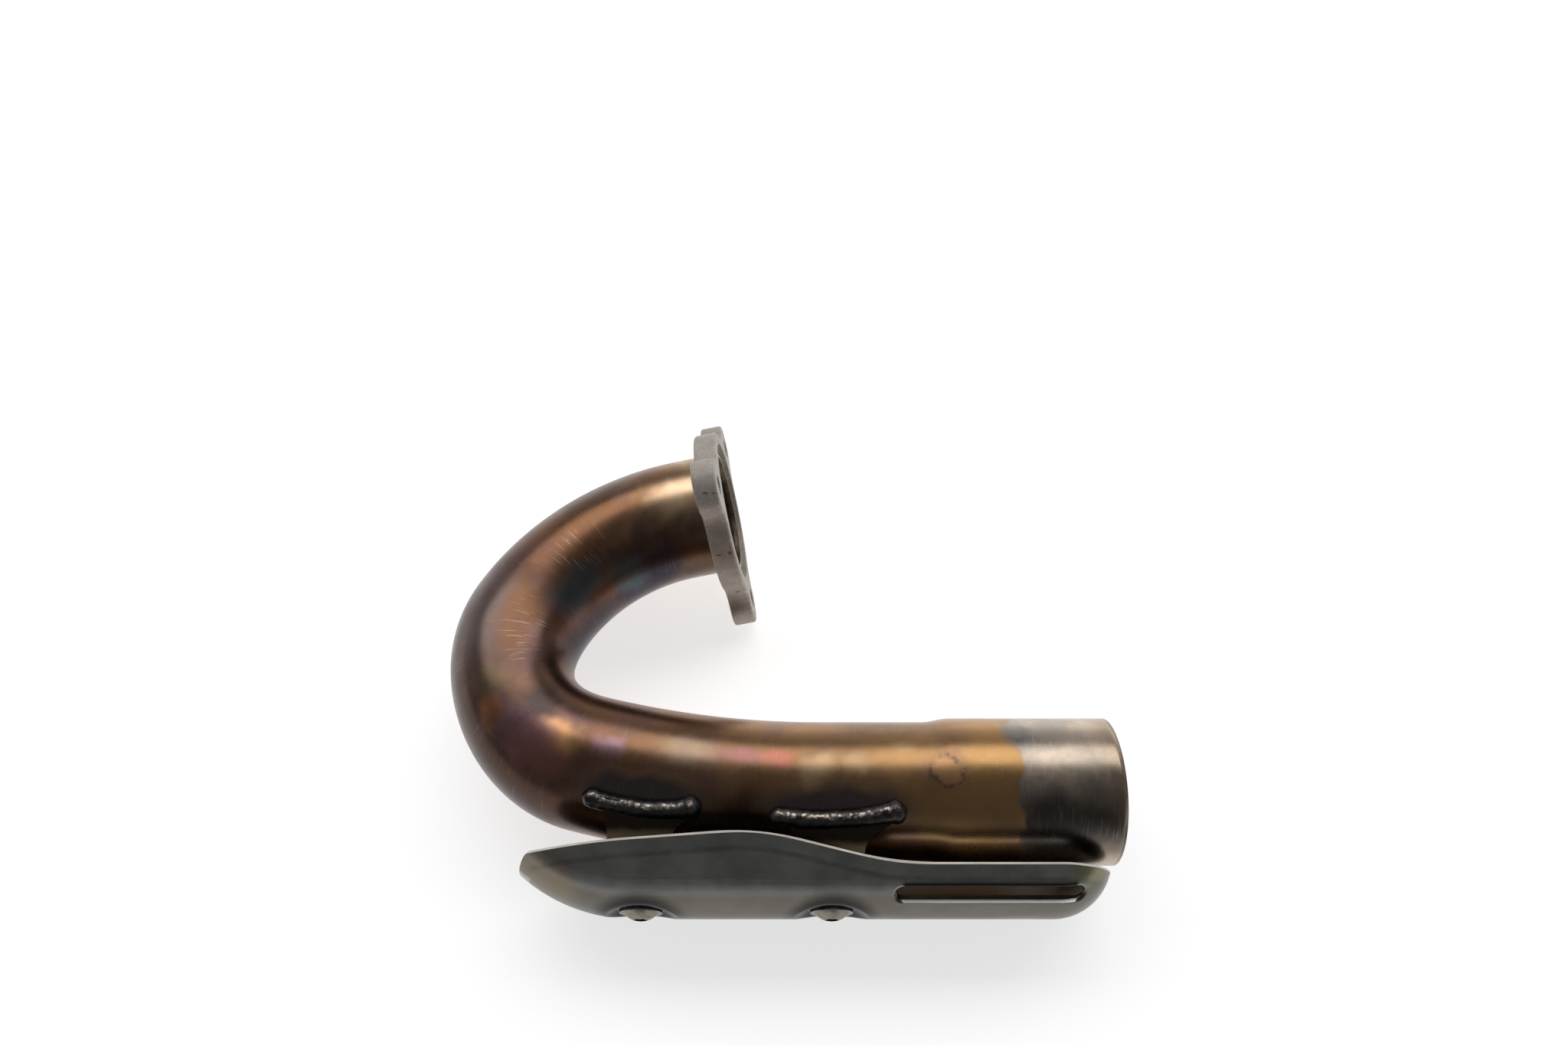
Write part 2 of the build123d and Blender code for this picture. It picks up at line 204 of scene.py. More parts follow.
# Each bend has a radius, an angle and the twist that follows it.
gentle_bend = (330.0 * MM, 13.5, 12.0)
tight_bend = (40.0 * MM, 101.0, -13.0)
head_bend = (70.0 * MM, 58.5, 0.0)
# The visible skin lies this far inside the solid, so that it stays within its box.
skin = 0.02 * MM


def bend_length(bend):
    """Length of a bend along the tube's axis."""
    radius, angle = bend[:2]
    return radius * radians(angle)


bend_start = leg_length + bend_length(gentle_bend)
bend_end = bend_start + bend_length(tight_bend)
print("tight bend from", round(bend_start / MM, 1), "to", round(bend_end / MM, 1), "mm")

# %% The line that the tube follows
step = 2.0 * MM


def bend_point(radius, turn):
    """A point on a bend that leaves along X and turns towards Y."""
    return Vector((radius * sin(turn), radius * (1 - cos(turn)), 0.0))


leg_steps = round(leg_length / step)
path = [Vector((-leg_length * i / leg_steps, 0.0, 0.0)) for i in range(leg_steps + 1)]
place = Matrix(((-1, 0, 0, -leg_length), (0, 1, 0, 0), (0, 0, -1, 0), (0, 0, 0, 1)))
place = place @ Matrix.Rotation(radians(gentle_lean), 4, "X")
for bend in (gentle_bend, tight_bend, head_bend):
    radius, angle, twist = bend
    bend_steps = round(bend_length(bend) / step)
    path += [place @ bend_point(radius, radians(angle) * i / bend_steps) for i in range(1, bend_steps + 1)]
    place = place @ Matrix.Translation(bend_point(radius, radians(angle)))
    place = place @ Matrix.Rotation(radians(angle), 4, "Z") @ Matrix.Rotation(radians(twist), 4, "X")
head_steps = round(head_length / step)
path += [place @ Vector((head_length * i / head_steps, 0.0, 0.0)) for i in range(1, head_steps + 1)]
head_axis = place.col[0].to_3d()
tube_length = sum((b - a).length for a, b in zip(path, path[1:]))
print("tube axis", round(tube_length / MM, 1), "mm long in", len(path), "points")

# %% A path object for the sweep
def path_object(name, points):
    """A curve object with straight steps between points, for a Geometry Nodes sweep."""
    curve = bpy.data.curves.new(name, "CURVE")
    curve.dimensions = "3D"
    curve.twist_mode = "Z_UP"
    spline = curve.splines.new("POLY")
    spline.points.add(len(points) - 1)
    for point, where in zip(spline.points, points):
        point.co = (*where, 1.0)
    holder = bpy.data.objects.new(name, curve)
    scene.collection.objects.link(holder)
    return holder


tube_path = path_object("tube_path", path)
print("path object:", tube_path.name)

# %% Helpers for Geometry Nodes
def new_group(name, kind, inputs, outputs):
    """An empty node group with named sockets, and the sockets on its inside."""
    tree = bpy.data.node_groups.new(name, kind)
    for label, (socket_type, value) in inputs.items():
        socket = tree.interface.new_socket(label, in_out="INPUT", socket_type=socket_type)
        if value is not None:
            socket.default_value = value
    for label, socket_type in outputs.items():
        tree.interface.new_socket(label, in_out="OUTPUT", socket_type=socket_type)
    return tree, tree.nodes.new("NodeGroupInput").outputs, tree.nodes.new("NodeGroupOutput").inputs


def scaled(tree, vector, factor):
    """A vector made longer or shorter by a factor."""
    return add_node(tree, "ShaderNodeVectorMath", {0: vector, "Scale": factor}, operation="SCALE").outputs[0]


def remember(tree, geometry, name, value, data_type="FLOAT"):
    """The geometry with a value stored on its points under a name."""
    inputs = {"Geometry": geometry, "Name": name, "Value": value}
    return add_node(tree, "GeometryNodeStoreNamedAttribute", inputs, data_type=data_type).outputs[0]


def recall(tree, name, data_type="FLOAT"):
    """A value that was stored on the points under a name."""
    return add_node(tree, "GeometryNodeInputNamedAttribute", {"Name": name}, data_type=data_type).outputs[0]


def close_tree(tree, geometry, finish, output):
    """Ends a tree with smooth shading, plain geometry and a material."""
    smooth = add_node(tree, "GeometryNodeSetShadeSmooth", {"Geometry": geometry}).outputs[0]
    plain = add_node(tree, "GeometryNodeRealizeInstances", {"Geometry": smooth}).outputs[0]
    finished = add_node(tree, "GeometryNodeSetMaterial", {"Geometry": plain, "Material": finish}).outputs[0]
    tree.links.new(finished, output)


print("Geometry Nodes helpers ready")

# %% Sweep tree for the tube
sweep, sweep_in, sweep_out = new_group(
    "swept_tube",
    "GeometryNodeTree",
    {
        "Geometry": ("NodeSocketGeometry", None),
        "Tube radius": ("NodeSocketFloat", tube_od / 2 - skin),
        "Outlet radius": ("NodeSocketFloat", outlet_od / 2 - skin),
        "Outlet length": ("NodeSocketFloat", outlet_length),
        "Swage end": ("NodeSocketFloat", outlet_length + swage_length),
        "Bend start": ("NodeSocketFloat", bend_start),
        "Bend end": ("NodeSocketFloat", bend_end),
        "Flattening": ("NodeSocketFloat", flattening),
        "Sides": ("NodeSocketInt", 96),
        "Finish": ("NodeSocketMaterial", None),
    },
    {"Geometry": "NodeSocketGeometry"},
)
along = add_node(sweep, "GeometryNodeSplineParameter").outputs["Length"]
ring_radius = remap(
    sweep, along, sweep_in["Outlet length"], sweep_in["Swage end"],
    sweep_in["Outlet radius"], sweep_in["Tube radius"],
)
across = add_node(sweep, "GeometryNodeInputNormal").outputs[0]
marked = remember(sweep, sweep_in["Geometry"], "along", along)
marked = remember(sweep, marked, "ring_radius", ring_radius)
marked = remember(sweep, marked, "across", across, "FLOAT_VECTOR")
ring = add_node(sweep, "GeometryNodeCurvePrimitiveCircle", {"Resolution": sweep_in["Sides"], "Radius": 1.0})
ring_place = add_node(sweep, "GeometryNodeInputPosition").outputs[0]
ring = remember(sweep, ring.outputs["Curve"], "on_ring", ring_place, "FLOAT_VECTOR")
swept = add_node(
    sweep, "GeometryNodeCurveToMesh", {"Curve": marked, "Profile Curve": ring, "Scale": ring_radius},
).outputs[0]
print("sweep tree so far:", len(sweep.nodes), "nodes")

# %% The straight-tube coordinate
stored_along = recall(sweep, "along")
stored_radius = recall(sweep, "ring_radius")
on_ring = add_node(sweep, "ShaderNodeSeparateXYZ", {0: recall(sweep, "on_ring", "FLOAT_VECTOR")}).outputs
out_across = calculate(sweep, "MULTIPLY", on_ring["X"], stored_radius)
out_upright = calculate(sweep, "MULTIPLY", on_ring["Y"], stored_radius)
straight = add_node(
    sweep, "ShaderNodeCombineXYZ", {"X": stored_along, "Y": out_across, "Z": out_upright},
).outputs[0]
remembered = remember(sweep, swept, "straight", straight, "FLOAT_VECTOR")
print("with the straight-tube coordinate:", len(sweep.nodes), "nodes")

# %% Flattening in the tight bend
bend_span = {"From Min": sweep_in["Bend start"], "From Max": sweep_in["Bend end"], "To Max": pi}
into_bend = add_node(sweep, "ShaderNodeMapRange", {"Value": stored_along, **bend_span}).outputs[0]
squeeze = calculate(sweep, "POWER", calculate(sweep, "SINE", into_bend), 2.0)
squeeze = calculate(sweep, "MULTIPLY", squeeze, sweep_in["Flattening"])
squeeze = calculate(sweep, "MULTIPLY", squeeze, out_across)
inward = calculate(sweep, "MULTIPLY", squeeze, -1.0)
inward = scaled(sweep, recall(sweep, "across", "FLOAT_VECTOR"), inward)
flattened = add_node(sweep, "GeometryNodeSetPosition", {"Geometry": remembered, "Offset": inward}).outputs[0]
close_tree(sweep, flattened, sweep_in["Finish"], sweep_out["Geometry"])
print("sweep tree:", len(sweep.nodes), "nodes")

# %% Helpers that turn a node tree into a plain mesh
def as_mesh(holder, name):
    """A new mesh object with the evaluated shape of another object, which is then removed."""
    bpy.context.view_layer.update()
    evaluated = holder.evaluated_get(bpy.context.evaluated_depsgraph_get())
    mesh = bpy.data.meshes.new_from_object(evaluated)
    mesh.name = name
    piece = bpy.data.objects.new(name, mesh)
    scene.collection.objects.link(piece)
    bpy.data.objects.remove(holder)
    return piece


def grow(holder, tree, values, name):
    """The mesh that a tree makes from a path, with its inputs set by their sockets' identifiers."""
    modifier = holder.modifiers.new(tree.name, "NODES")
    modifier.node_group = tree
    sockets = {s.name: s.identifier for s in tree.interface.items_tree if s.in_out == "INPUT"}
    for label, value in values.items():
        modifier[sockets[label]] = value
    return as_mesh(holder, name)


def finish_piece(piece, node):
    """Puts a finished piece on the body in place of a solid."""
    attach(piece, "root")
    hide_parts(node)


print("mesh helpers ready")

# %% Sweep the tube
def new_metal(name, metallic=1.0):
    """A metal material with a bare surface shader, and its node tree."""
    material = bpy.data.materials.new(name)
    material.use_nodes = True
    material.node_tree.nodes["Principled BSDF"].inputs["Metallic"].default_value = metallic
    return material, material.node_tree


heat_tinted, tint = new_metal("heat_tinted_steel")
sooty, bore = new_metal("sooty_bore")
tube = grow(tube_path, sweep, {"Finish": heat_tinted}, "swept_tube")
tube.data.materials.append(sooty)
wall = tube.modifiers.new("wall", "SOLIDIFY")
wall.thickness = tube_wall
wall.offset = -1.0
wall.use_even_offset = True
wall.material_offset = 1
tube = as_mesh(tube, "bent_tube")
finish_piece(tube, "header_tube")
print("tube:", len(tube.data.polygons), "faces")

# %% [markdown]
# Three small effects come back on several metals, so each is a node group: the fine grain of the
# surface, long thin scuffs, and a soft-edged patch at a chosen place. They only put out masks and
# values. The shader that uses them stays in each material, where it can be read at a glance.

# %% Grain group
grain, grain_in, grain_out = new_group(
    "metal_grain",
    "ShaderNodeTree",
    {
        "Place": ("NodeSocketVector", (0.0, 0.0, 0.0)),
        "Size": ("NodeSocketFloat", 1.0),
        "Detail": ("NodeSocketFloat", 3.0),
    },
    {"Value": "NodeSocketFloat"},
)
grain_scale = calculate(grain, "DIVIDE", 1.0, grain_in["Size"])
grain_noise = add_node(
    grain, "ShaderNodeTexNoise",
    {"Vector": grain_in["Place"], "Scale": grain_scale, "Detail": grain_in["Detail"], "Roughness": 0.6},
)
grain.links.new(grain_noise.outputs[0], grain_out["Value"])


def use_group(tree, group, inputs):
    """A finished shader group placed in a material with its own values."""
    return add_node(tree, "ShaderNodeGroup", inputs, node_tree=group).outputs[0]


def grain_at(tree, place, size, detail=3.0):
    """Cloudy grain of a size in millimetres."""
    return use_group(tree, grain, {"Place": place, "Size": size, "Detail": detail})


print("grain group:", len(grain.nodes), "nodes")

# %% Scuff group
scuffs, scuffs_in, scuffs_out = new_group(
    "thin_scuffs",
    "ShaderNodeTree",
    {
        "Place": ("NodeSocketVector", (0.0, 0.0, 0.0)),
        "Stretch": ("NodeSocketVector", (1.0, 1.0, 1.0)),
        "Level": ("NodeSocketFloat", 0.6),
    },
    {"Mask": "NodeSocketFloat"},
)
line_softness = 0.09


def vector_step(tree, operation, first, second):
    """The result of one sum, product or other step on two vectors."""
    return add_node(tree, "ShaderNodeVectorMath", {0: first, 1: second}, operation=operation).outputs[0]


stretched = vector_step(scuffs, "MULTIPLY", scuffs_in["Place"], scuffs_in["Stretch"])
lines = add_node(
    scuffs, "ShaderNodeTexNoise", {"Vector": stretched, "Scale": 1.0, "Detail": 2.0, "Roughness": 0.55},
).outputs[0]
line_top = calculate(scuffs, "ADD", scuffs_in["Level"], line_softness)
scuffs.links.new(remap(scuffs, lines, scuffs_in["Level"], line_top), scuffs_out["Mask"])


def scuffs_at(tree, place, stretch, level):
    """A mask of thin lines, longest where the stretch is small, and sparser at a higher level."""
    return use_group(tree, scuffs, {"Place": place, "Stretch": stretch, "Level": level})


print("scuff group:", len(scuffs.nodes), "nodes")

# %% Patch group
patch, patch_in, patch_out = new_group(
    "soft_patch",
    "ShaderNodeTree",
    {
        "Place": ("NodeSocketVector", (0.0, 0.0, 0.0)),
        "Centre": ("NodeSocketVector", (0.0, 0.0, 0.0)),
        "Size": ("NodeSocketVector", (1.0, 1.0, 1.0)),
        "Core": ("NodeSocketFloat", 0.4),
        "Strength": ("NodeSocketFloat", 1.0),
    },
    {"Mask": "NodeSocketFloat"},
)
away = vector_step(patch, "SUBTRACT", patch_in["Place"], patch_in["Centre"])
away = vector_step(patch, "DIVIDE", away, patch_in["Size"])
away = add_node(patch, "ShaderNodeVectorMath", {0: away}, operation="LENGTH").outputs["Value"]
inside = remap(patch, away, patch_in["Core"], 1.0, 1.0, 0.0)
patch.links.new(calculate(patch, "MULTIPLY", inside, patch_in["Strength"]), patch_out["Mask"])


def patch_at(tree, place, centre, size, core, strength=1.0):
    """A mask that is full in the core, a share of the size, and fades to nothing at the size."""
    inputs = {"Place": place, "Centre": centre, "Size": size, "Core": core, "Strength": strength}
    return use_group(tree, patch, inputs)


print("patch group:", len(patch.nodes), "nodes")

# %% Helpers for metal finishes
# Noise seldom leaves the middle of its range, so masks and values are stretched over that middle.
mask_range = (0.35, 0.65)
value_range = (0.3, 0.7)


def mottle(tree, cloud, dark, light):
    """Two colours that run into each other as a cloud does."""
    return blend(tree, remap(tree, cloud, *mask_range), dark, light)


def follow(tree, cloud, low, high):
    """A value that follows a cloud between two limits."""
    return remap(tree, cloud, *value_range, low, high)


def relief(tree, height, strength, depth):
    """A normal that follows a fine height, with its depth in millimetres."""
    inputs = {"Height": height, "Strength": strength, "Distance": depth * MM}
    return add_node(tree, "ShaderNodeBump", inputs).outputs[0]


def feed(tree, colour, roughness, normal=None):
    """Links a metal's varying colour, roughness and normal to its surface shader."""
    shader = tree.nodes["Principled BSDF"]
    tree.links.new(colour, shader.inputs["Base Color"])
    tree.links.new(roughness, shader.inputs["Roughness"])
    if normal is not None:
        tree.links.new(normal, shader.inputs["Normal"])


print("finish helpers ready")

# %% [markdown]
# Steel that has been hot keeps a record of it: a film of oxide a few hundred atoms thick shows
# straw, bronze, purple and blue as it grows. Near the head the tube ran hottest, a clamp kept the
# outlet end bare, and fingers, clips and drips left pale marks. It could be painted by hand on an
# unwrapped tube, but nodes stay sharp at any size. A colour ramp along the straight tube gives the
# broad change, and soft patches, bent out of round by noise, give the rest. Some patches are painted
# light: dark ones on the flanks, the underside and the inner side of the head are painted shade that
# darkens what the metal reflects, and a bright gold one by the flange is a painted highlight.

# %% Places on the straight tube, in millimetres
wander_reach = 8.0


def straight_tube_place(tree):
    """Places on the tube as it was before bending."""
    place = add_node(tree, "ShaderNodeAttribute", attribute_name="straight").outputs["Vector"]
    return scaled(tree, place, 1.0 / MM)


def tube_place(distance, angle):
    """A point of the straight tube: millimetres from the outlet, degrees up from the shield's side."""
    radius = tube_od / 2 / MM
    return (distance, -radius * cos(radians(angle)), -radius * sin(radians(angle)))


straight_place = straight_tube_place(tint)
wander = add_node(
    tint, "ShaderNodeTexNoise", {"Vector": straight_place, "Scale": 0.11, "Detail": 2.0, "Roughness": 0.45},
).outputs["Color"]
wander = scaled(tint, vector_step(tint, "SUBTRACT", wander, (0.5, 0.5, 0.5)), wander_reach)
ragged_place = vector_step(tint, "ADD", straight_place, wander)
print("straight tube reaches", round(tube_length / MM), "mm")

# %% Broad heat colours along the tube
heat_bands = [
    (0.00, (0.46, 0.28, 0.13)),
    (0.14, (0.48, 0.28, 0.12)),
    (0.26, (0.36, 0.21, 0.10)),
    (0.40, (0.34, 0.19, 0.10)),
    (0.52, (0.26, 0.135, 0.08)),
    (0.62, (0.19, 0.11, 0.075)),
    (0.76, (0.16, 0.08, 0.047)),
    (0.88, (0.27, 0.135, 0.07)),
    (0.96, (0.46, 0.31, 0.17)),
    (1.00, (0.34, 0.23, 0.14)),
]
film_colour = (0.20, 0.12, 0.13)
distance_along = add_node(tint, "ShaderNodeSeparateXYZ", {0: straight_place}).outputs[0]
share_along = calculate(tint, "DIVIDE", distance_along, tube_length / MM)
broad_noise = grain_at(tint, straight_place, 26.0)
share_along = calculate(tint, "ADD", share_along, follow(tint, broad_noise, -0.05, 0.05))
heat_ramp = add_node(tint, "ShaderNodeValToRGB", {"Fac": share_along})
while len(heat_ramp.color_ramp.elements) < len(heat_bands):
    heat_ramp.color_ramp.elements.new(0.5)
for element, (where, colour) in zip(heat_ramp.color_ramp.elements, heat_bands):
    element.position = where
    element.color = (*colour, 1.0)
film = remap(tint, grain_at(tint, ragged_place, 15.0, 1.5), 0.4, 0.75, 0.0, 0.5)
tube_colour = blend(tint, film, heat_ramp.outputs[0], film_colour)
print("heat bands:", len(heat_bands))

# %% Patches of tint and pale marks, painted shade and a painted highlight
khaki, pale, gold = (0.50, 0.38, 0.26), (0.62, 0.42, 0.24), (0.56, 0.35, 0.16)
orange, copper, pink = (0.56, 0.32, 0.13), (0.27, 0.135, 0.07), (0.42, 0.18, 0.19)
red, violet, maroon = (0.52, 0.18, 0.13), (0.44, 0.23, 0.27), (0.44, 0.20, 0.17)
slate, olive, teal = (0.075, 0.06, 0.058), (0.24, 0.18, 0.11), (0.085, 0.12, 0.135)
lilac, amber, painted_gold_highlight = (0.55, 0.34, 0.42), (0.95, 0.50, 0.22), (0.95, 0.66, 0.42)
grey_film, soot, flank_shade_brown = (0.20, 0.155, 0.145), (0.05, 0.045, 0.05), (0.06, 0.036, 0.028)
indigo_and_shade, rust, bronze = (0.035, 0.035, 0.05), (0.60, 0.26, 0.12), (0.13, 0.09, 0.07)
tint_core = 0.25
# The dark brown patches are painted shade on the flanks and underside. The indigo ones are partly blue tint
# and partly painted shade. The bright gold patch by the flange is a painted highlight.
# Each patch has a colour, its distance and angle on the straight tube, a length, a width and a strength.
tint_patches = [
    (flank_shade_brown, 205, 20, 44, 24, 0.9), (flank_shade_brown, 245, 26, 40, 22, 0.85),
    (flank_shade_brown, 180, 16, 30, 20, 0.8),
    (flank_shade_brown, 318, 168, 34, 22, 0.85), (indigo_and_shade, 288, 182, 34, 24, 0.9), (indigo_and_shade, 250, 188, 34, 22, 0.8),
    (flank_shade_brown, 300, 140, 34, 9, 0.6), (flank_shade_brown, 285, 30, 34, 20, 0.7), (bronze, 287, 60, 28, 9, 0.8),
    (flank_shade_brown, 118, 43, 46, 13, 0.9), (bronze, 72, 130, 26, 9, 0.5),
    (orange, 42, 96, 16, 22, 0.8), (orange, 70, 97, 18, 14, 0.5), (pale, 69, 109, 5, 4, 0.5),
    (pale, 96, 86, 8, 8, 0.7), (pale, 98, 79, 7, 5, 0.7), (pale, 84, 91, 6, 6, 0.5),
    (pink, 119, 94, 14, 4, 0.6), (red, 109, 94, 8, 4, 0.7),
    (khaki, 139, 95, 13, 8, 0.5), (lilac, 164, 87, 8, 6, 0.6), (amber, 181, 82, 12, 8, 0.75),
    (violet, 191, 73, 15, 11, 0.8), (maroon, 183, 65, 13, 10, 0.7), (rust, 202, 64, 9, 7, 0.8),
    (slate, 193, 101, 11, 10, 0.85), (olive, 209, 75, 10, 9, 0.7), (grey_film, 233, 66, 26, 14, 0.8),
    (copper, 231, 100, 22, 10, 0.6), (copper, 283, 94, 34, 10, 0.8), (painted_gold_highlight, 317, 102, 16, 11, 0.95),
    (teal, 282, 158, 15, 12, 0.6), (indigo_and_shade, 302, 161, 15, 11, 0.7),
    (teal, 258, 132, 22, 10, 0.75), (indigo_and_shade, 226, 172, 24, 18, 0.7), (flank_shade_brown, 240, 40, 26, 16, 0.5),
    (gold, 57, 34, 15, 7, 0.8), (gold, 150, 250, 26, 18, 0.5), (violet, 95, 262, 30, 18, 0.5),
    (copper, 60, 205, 26, 20, 0.5), (slate, 262, 262, 26, 20, 0.5),
]
for colour, distance, angle, length, width, strength in tint_patches:
    centre = tube_place(distance, angle)
    mask = patch_at(tint, ragged_place, centre, (length, width, width), tint_core, strength)
    tube_colour = blend(tint, mask, tube_colour, colour)
print("tint patches:", len(tint_patches))

# %% Blotch on the leg and halos of the welds
blotch_centre = tube_place(56, 84)
blotch = patch_at(tint, ragged_place, blotch_centre, (6.0, 6.0, 6.0), 0.55)
blotch_ring = patch_at(tint, ragged_place, blotch_centre, (7.0, 7.0, 7.0), 0.75)
blotch_ring = calculate(tint, "SUBTRACT", blotch_ring, blotch)
speckle = remap(tint, grain_at(tint, straight_place, 2.6), 0.45, 0.60, 0.0, 0.6)
blotch_ring = calculate(tint, "MULTIPLY", blotch_ring, speckle)
tube_colour = blend(tint, calculate(tint, "MULTIPLY", blotch, 0.3), tube_colour, amber)
tube_colour = blend(tint, blotch_ring, tube_colour, soot)
straw_rim, smoke = (0.42, 0.27, 0.15), (0.10, 0.09, 0.10)
outer_width, inner_width, inner_inset = 11.0, 8.5, 2
# Each halo has its distance and angle on the straight tube and a length.
halos = [(90, 55, 30), (150, 52, 27), (90, -55, 30), (150, -52, 27)]
for distance, angle, length in halos:
    centre = tube_place(distance, angle)
    outer = patch_at(tint, ragged_place, centre, (length, outer_width, outer_width), 0.6, 0.45)
    inner_size = (length - inner_inset, inner_width, inner_width)
    inner = patch_at(tint, ragged_place, centre, inner_size, 0.5, 0.85)
    tube_colour = blend(tint, outer, tube_colour, straw_rim)
    tube_colour = blend(tint, inner, tube_colour, smoke)
print("weld halos:", len(halos))

# %% Bare band at the outlet
bare_length = (32.0, 33.6)
mouth_length = (1.0, 12.0)
dull_steel, bright_steel, brown_mouth = (0.44, 0.38, 0.32), (0.66, 0.53, 0.41), (0.42, 0.31, 0.21)
flank_shade_colour, scraped = (0.06, 0.055, 0.05), (0.30, 0.28, 0.265)
ragged_along = add_node(tint, "ShaderNodeSeparateXYZ", {0: ragged_place}).outputs[0]
bare = remap(tint, ragged_along, *bare_length, 1.0, 0.0)
bare_steel = mottle(tint, grain_at(tint, ragged_place, 14.0, 4.0), dull_steel, bright_steel)
mouth = remap(tint, distance_along, *mouth_length, 0.6, 0.0)
bare_steel = blend(tint, mouth, bare_steel, brown_mouth)
# The dark patch on the lower flank of the bare band is painted shade.
flank_shade = patch_at(tint, ragged_place, tube_place(18, 38), (34, 17, 17), 0.4, 0.9)
bare_steel = blend(tint, flank_shade, bare_steel, flank_shade_colour)
tube_colour = blend(tint, bare, tube_colour, bare_steel)
scrape = patch_at(tint, ragged_place, tube_place(32, 117), (7.0, 9.0, 9.0), 0.5, 0.8)
tube_colour = blend(tint, scrape, tube_colour, scraped)
print("bare band to", bare_length[1], "mm")

# %% Scuffs, roughness and grain of the tube
scuff_colour = (0.85, 0.76, 0.72)
bare_scuffs, least_scuffs = 0.2, 0.06
round_scuffs = scuffs_at(tint, straight_place, (1.5, 0.10, 0.10), 0.58)
scuffed_head = patch_at(tint, ragged_place, tube_place(270, 108), (16, 11, 11), 0.2)
scuffed_bend = patch_at(tint, ragged_place, tube_place(224, 108), (24, 12, 12), 0.2, 0.7)
scuffed = calculate(tint, "MAXIMUM", scuffed_head, scuffed_bend)
scuffed = calculate(tint, "MAXIMUM", scuffed, calculate(tint, "MULTIPLY", bare, bare_scuffs))
scuffed = calculate(tint, "MAXIMUM", scuffed, least_scuffs)
scuff_mask = calculate(tint, "MULTIPLY", round_scuffs, scuffed)
tube_colour = blend(tint, calculate(tint, "MULTIPLY", scuff_mask, 0.45), tube_colour, scuff_colour)
fine = grain_at(tint, straight_place, 1.2, 1.0)
cloud = grain_at(tint, ragged_place, 9.0, 2.0)
roughness = calculate(tint, "ADD", follow(tint, cloud, 0.27, 0.33), follow(tint, fine, -0.01, 0.01))
roughness = calculate(tint, "ADD", roughness, calculate(tint, "MULTIPLY", scuff_mask, 0.15))
surface = calculate(tint, "ADD", calculate(tint, "MULTIPLY", fine, 0.3), round_scuffs)
feed(tint, tube_colour, roughness, relief(tint, surface, 0.03, 0.03))
print("tinted steel:", len(tint.nodes), "nodes")

# %% [markdown]
# The gas leaves soot on the inside of the tube. The inner wall could be a piece of its own, but the
# Solidify step that gives the tube its wall also gives the new faces the tube's second material, so
# the soot only needs its colours.

# %% Soot inside the tube
soot_cloud = grain_at(bore, straight_tube_place(bore), 8.0, 4.0)
soot_colour = mottle(bore, soot_cloud, (0.06, 0.05, 0.042), (0.16, 0.12, 0.085))
feed(bore, soot_colour, follow(bore, soot_cloud, 0.62, 0.42))
print("soot:", len(bore.nodes), "nodes")

# %% [markdown]
# The flange is a casting, cleaned by blasting with grit. It has no bright reflections, only a fine
# sparkle, with softened edges, a few nicks where spanners and studs have met the outer face, and
# small dark marks. It could be modelled again, but the solid already has the right form, so it keeps
# its mesh and gets this finish.

# %% Blasted casting
def object_place(tree):
    """Places on a piece in millimetres."""
    return scaled(tree, add_node(tree, "ShaderNodeTexCoord").outputs["Object"], 1.0 / MM)


blasted, cast = new_metal("blasted_casting", 0.35)
cast_place = object_place(cast)
grit = grain_at(cast, cast_place, 0.45)
stain = grain_at(cast, cast_place, 11.0, 4.0)
grit_bright, grit_dark = (0.90, 0.84, 0.76), (0.30, 0.28, 0.25)
cast_colour = mottle(cast, stain, (0.51, 0.46, 0.405), (0.66, 0.595, 0.525))
cast_colour = blend(cast, remap(cast, grit, 0.55, 0.7, 0.0, 0.7), cast_colour, grit_bright)
cast_colour = blend(cast, remap(cast, grit, 0.45, 0.3, 0.0, 0.5), cast_colour, grit_dark)
print("casting so far:", len(cast.nodes), "nodes")

# %% Nicks and marks on the casting, and painted shade on its low side
# The outer face begins between these two places along the head's axis.
face_band = (-109.9, -108.9)
nick_colour, mark_colour, low_side_shade_colour = (0.86, 0.82, 0.76), (0.10, 0.09, 0.08), (0.22, 0.20, 0.18)
# Each mark has its centre and its size.
marks = [
    ((-134.0, 86.4, 50.0), (1.5, 0.8, 0.5)),
    ((-131.2, 86.4, 50.0), (0.9, 0.8, 0.4)),
    ((-130.4, 79.3, 22.9), (1.6, 0.8, 0.5)),
    ((-126.4, 79.8, 23.4), (1.0, 0.9, 1.2)),
    ((-124.4, 80.1, -3.1), (1.4, 0.8, 0.9)),
]


def measure(tree, place, axis):
    """How far a place lies along an axis."""
    inputs = {0: place, 1: axis}
    return add_node(tree, "ShaderNodeVectorMath", inputs, operation="DOT_PRODUCT").outputs["Value"]


near_face = remap(cast, measure(cast, cast_place, head_axis), *face_band)
nicks = remap(cast, grain_at(cast, cast_place, 1.6), 0.60, 0.66)
cast_colour = blend(cast, calculate(cast, "MULTIPLY", near_face, nicks), cast_colour, nick_colour)
for centre, extent in marks:
    cast_colour = blend(cast, patch_at(cast, cast_place, centre, extent, 0.3, 0.75), cast_colour, mark_colour)
# The larger dark patch on the low side of the flange is painted shade.
low_side_shade = patch_at(cast, cast_place, (-127.5, 78.9, -8.8), (8.0, 8.0, 8.0), 0.2, 0.6)
cast_colour = blend(cast, low_side_shade, cast_colour, low_side_shade_colour)
feed(cast, cast_colour, follow(cast, grit, 0.66, 0.5), relief(cast, grit, 0.35, 0.12))


def dress(name, material):
    """Gives a solid that is shown as it is a new finish."""
    mesh = nodes[name].data
    mesh.materials.clear()
    mesh.materials.append(material)


dress("head_flange", blasted)
print("casting:", len(cast.nodes), "nodes")

# %% [markdown]
# Each bracket foot is held by a fat weld bead. A welder stops and dips in a rhythm, so a bead is a
# row of overlapping puddles, thicker where it starts, on the outlet's side. It could be sculpted, but
# a tree makes all four from lines on the tube: the radius rises and falls along the line, and noise
# keeps the bead from looking turned.

